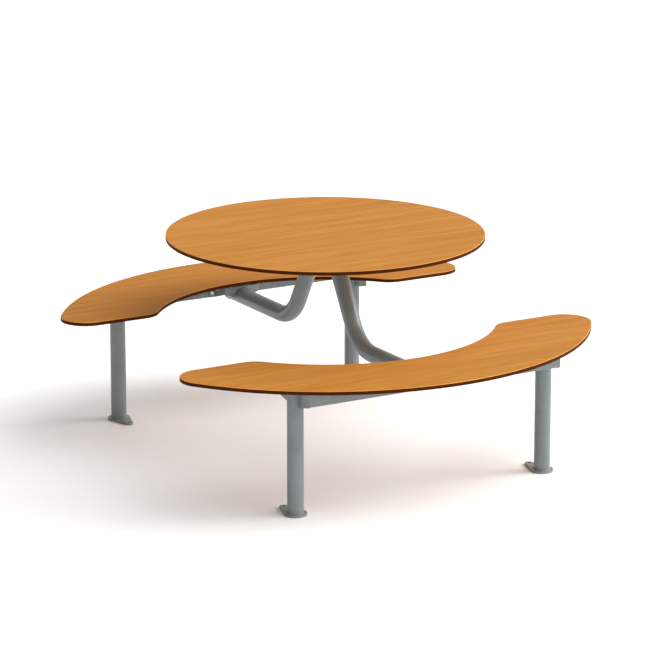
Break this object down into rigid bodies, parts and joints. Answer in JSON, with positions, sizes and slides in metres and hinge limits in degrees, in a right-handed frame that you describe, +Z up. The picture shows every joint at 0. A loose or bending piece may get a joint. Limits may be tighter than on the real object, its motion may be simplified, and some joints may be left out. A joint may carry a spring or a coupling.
{
  "type": "round table with attached benches",
  "caption": "Round laminate table with two curved bench seats on one tubular steel frame with floor anchors, for outdoor or canteen dining.",
  "frame": {"origin": "on the floor, under the centre of the round top", "axes": "+X along the two benches, +Y across them from the front bench to the back bench, +Z up"},
  "size_m": [1.584, 1.8276, 0.76],
  "materials": {
    "laminate": "satin compact laminate with a beech decor and a dark brown core at the edge",
    "coated_steel": "satin grey powder coat",
    "stainless": "bright stainless steel",
    "brass": "machined brass"
  },
  "bodies": {
    "root": {"table_top": "laminate", "front_seat": "laminate", "back_seat": "laminate", "front_rail": "coated_steel", "back_rail": "coated_steel", "front_left_leg": "coated_steel", "front_right_leg": "coated_steel", "back_left_leg": "coated_steel", "back_right_leg": "coated_steel", "front_left_foot": "coated_steel", "front_right_foot": "coated_steel", "back_left_foot": "coated_steel", "back_right_foot": "coated_steel", "front_left_bracket": "coated_steel", "front_right_bracket": "coated_steel", "back_left_bracket": "coated_steel", "back_right_bracket": "coated_steel", "front_arm": "coated_steel", "back_arm": "coated_steel", "front_hanger": "coated_steel", "back_hanger": "coated_steel", "front_seat_plate": "coated_steel", "back_seat_plate": "coated_steel", "front_table_plate": "coated_steel", "back_table_plate": "coated_steel", "seat_inserts": "brass", "seat_bolts": "stainless", "seat_washers": "stainless", "table_inserts": "brass", "table_bolts": "stainless", "table_washers": "stainless", "hanger_bolts": "stainless", "hanger_nuts": "stainless"}
  },
  "joints": []
}
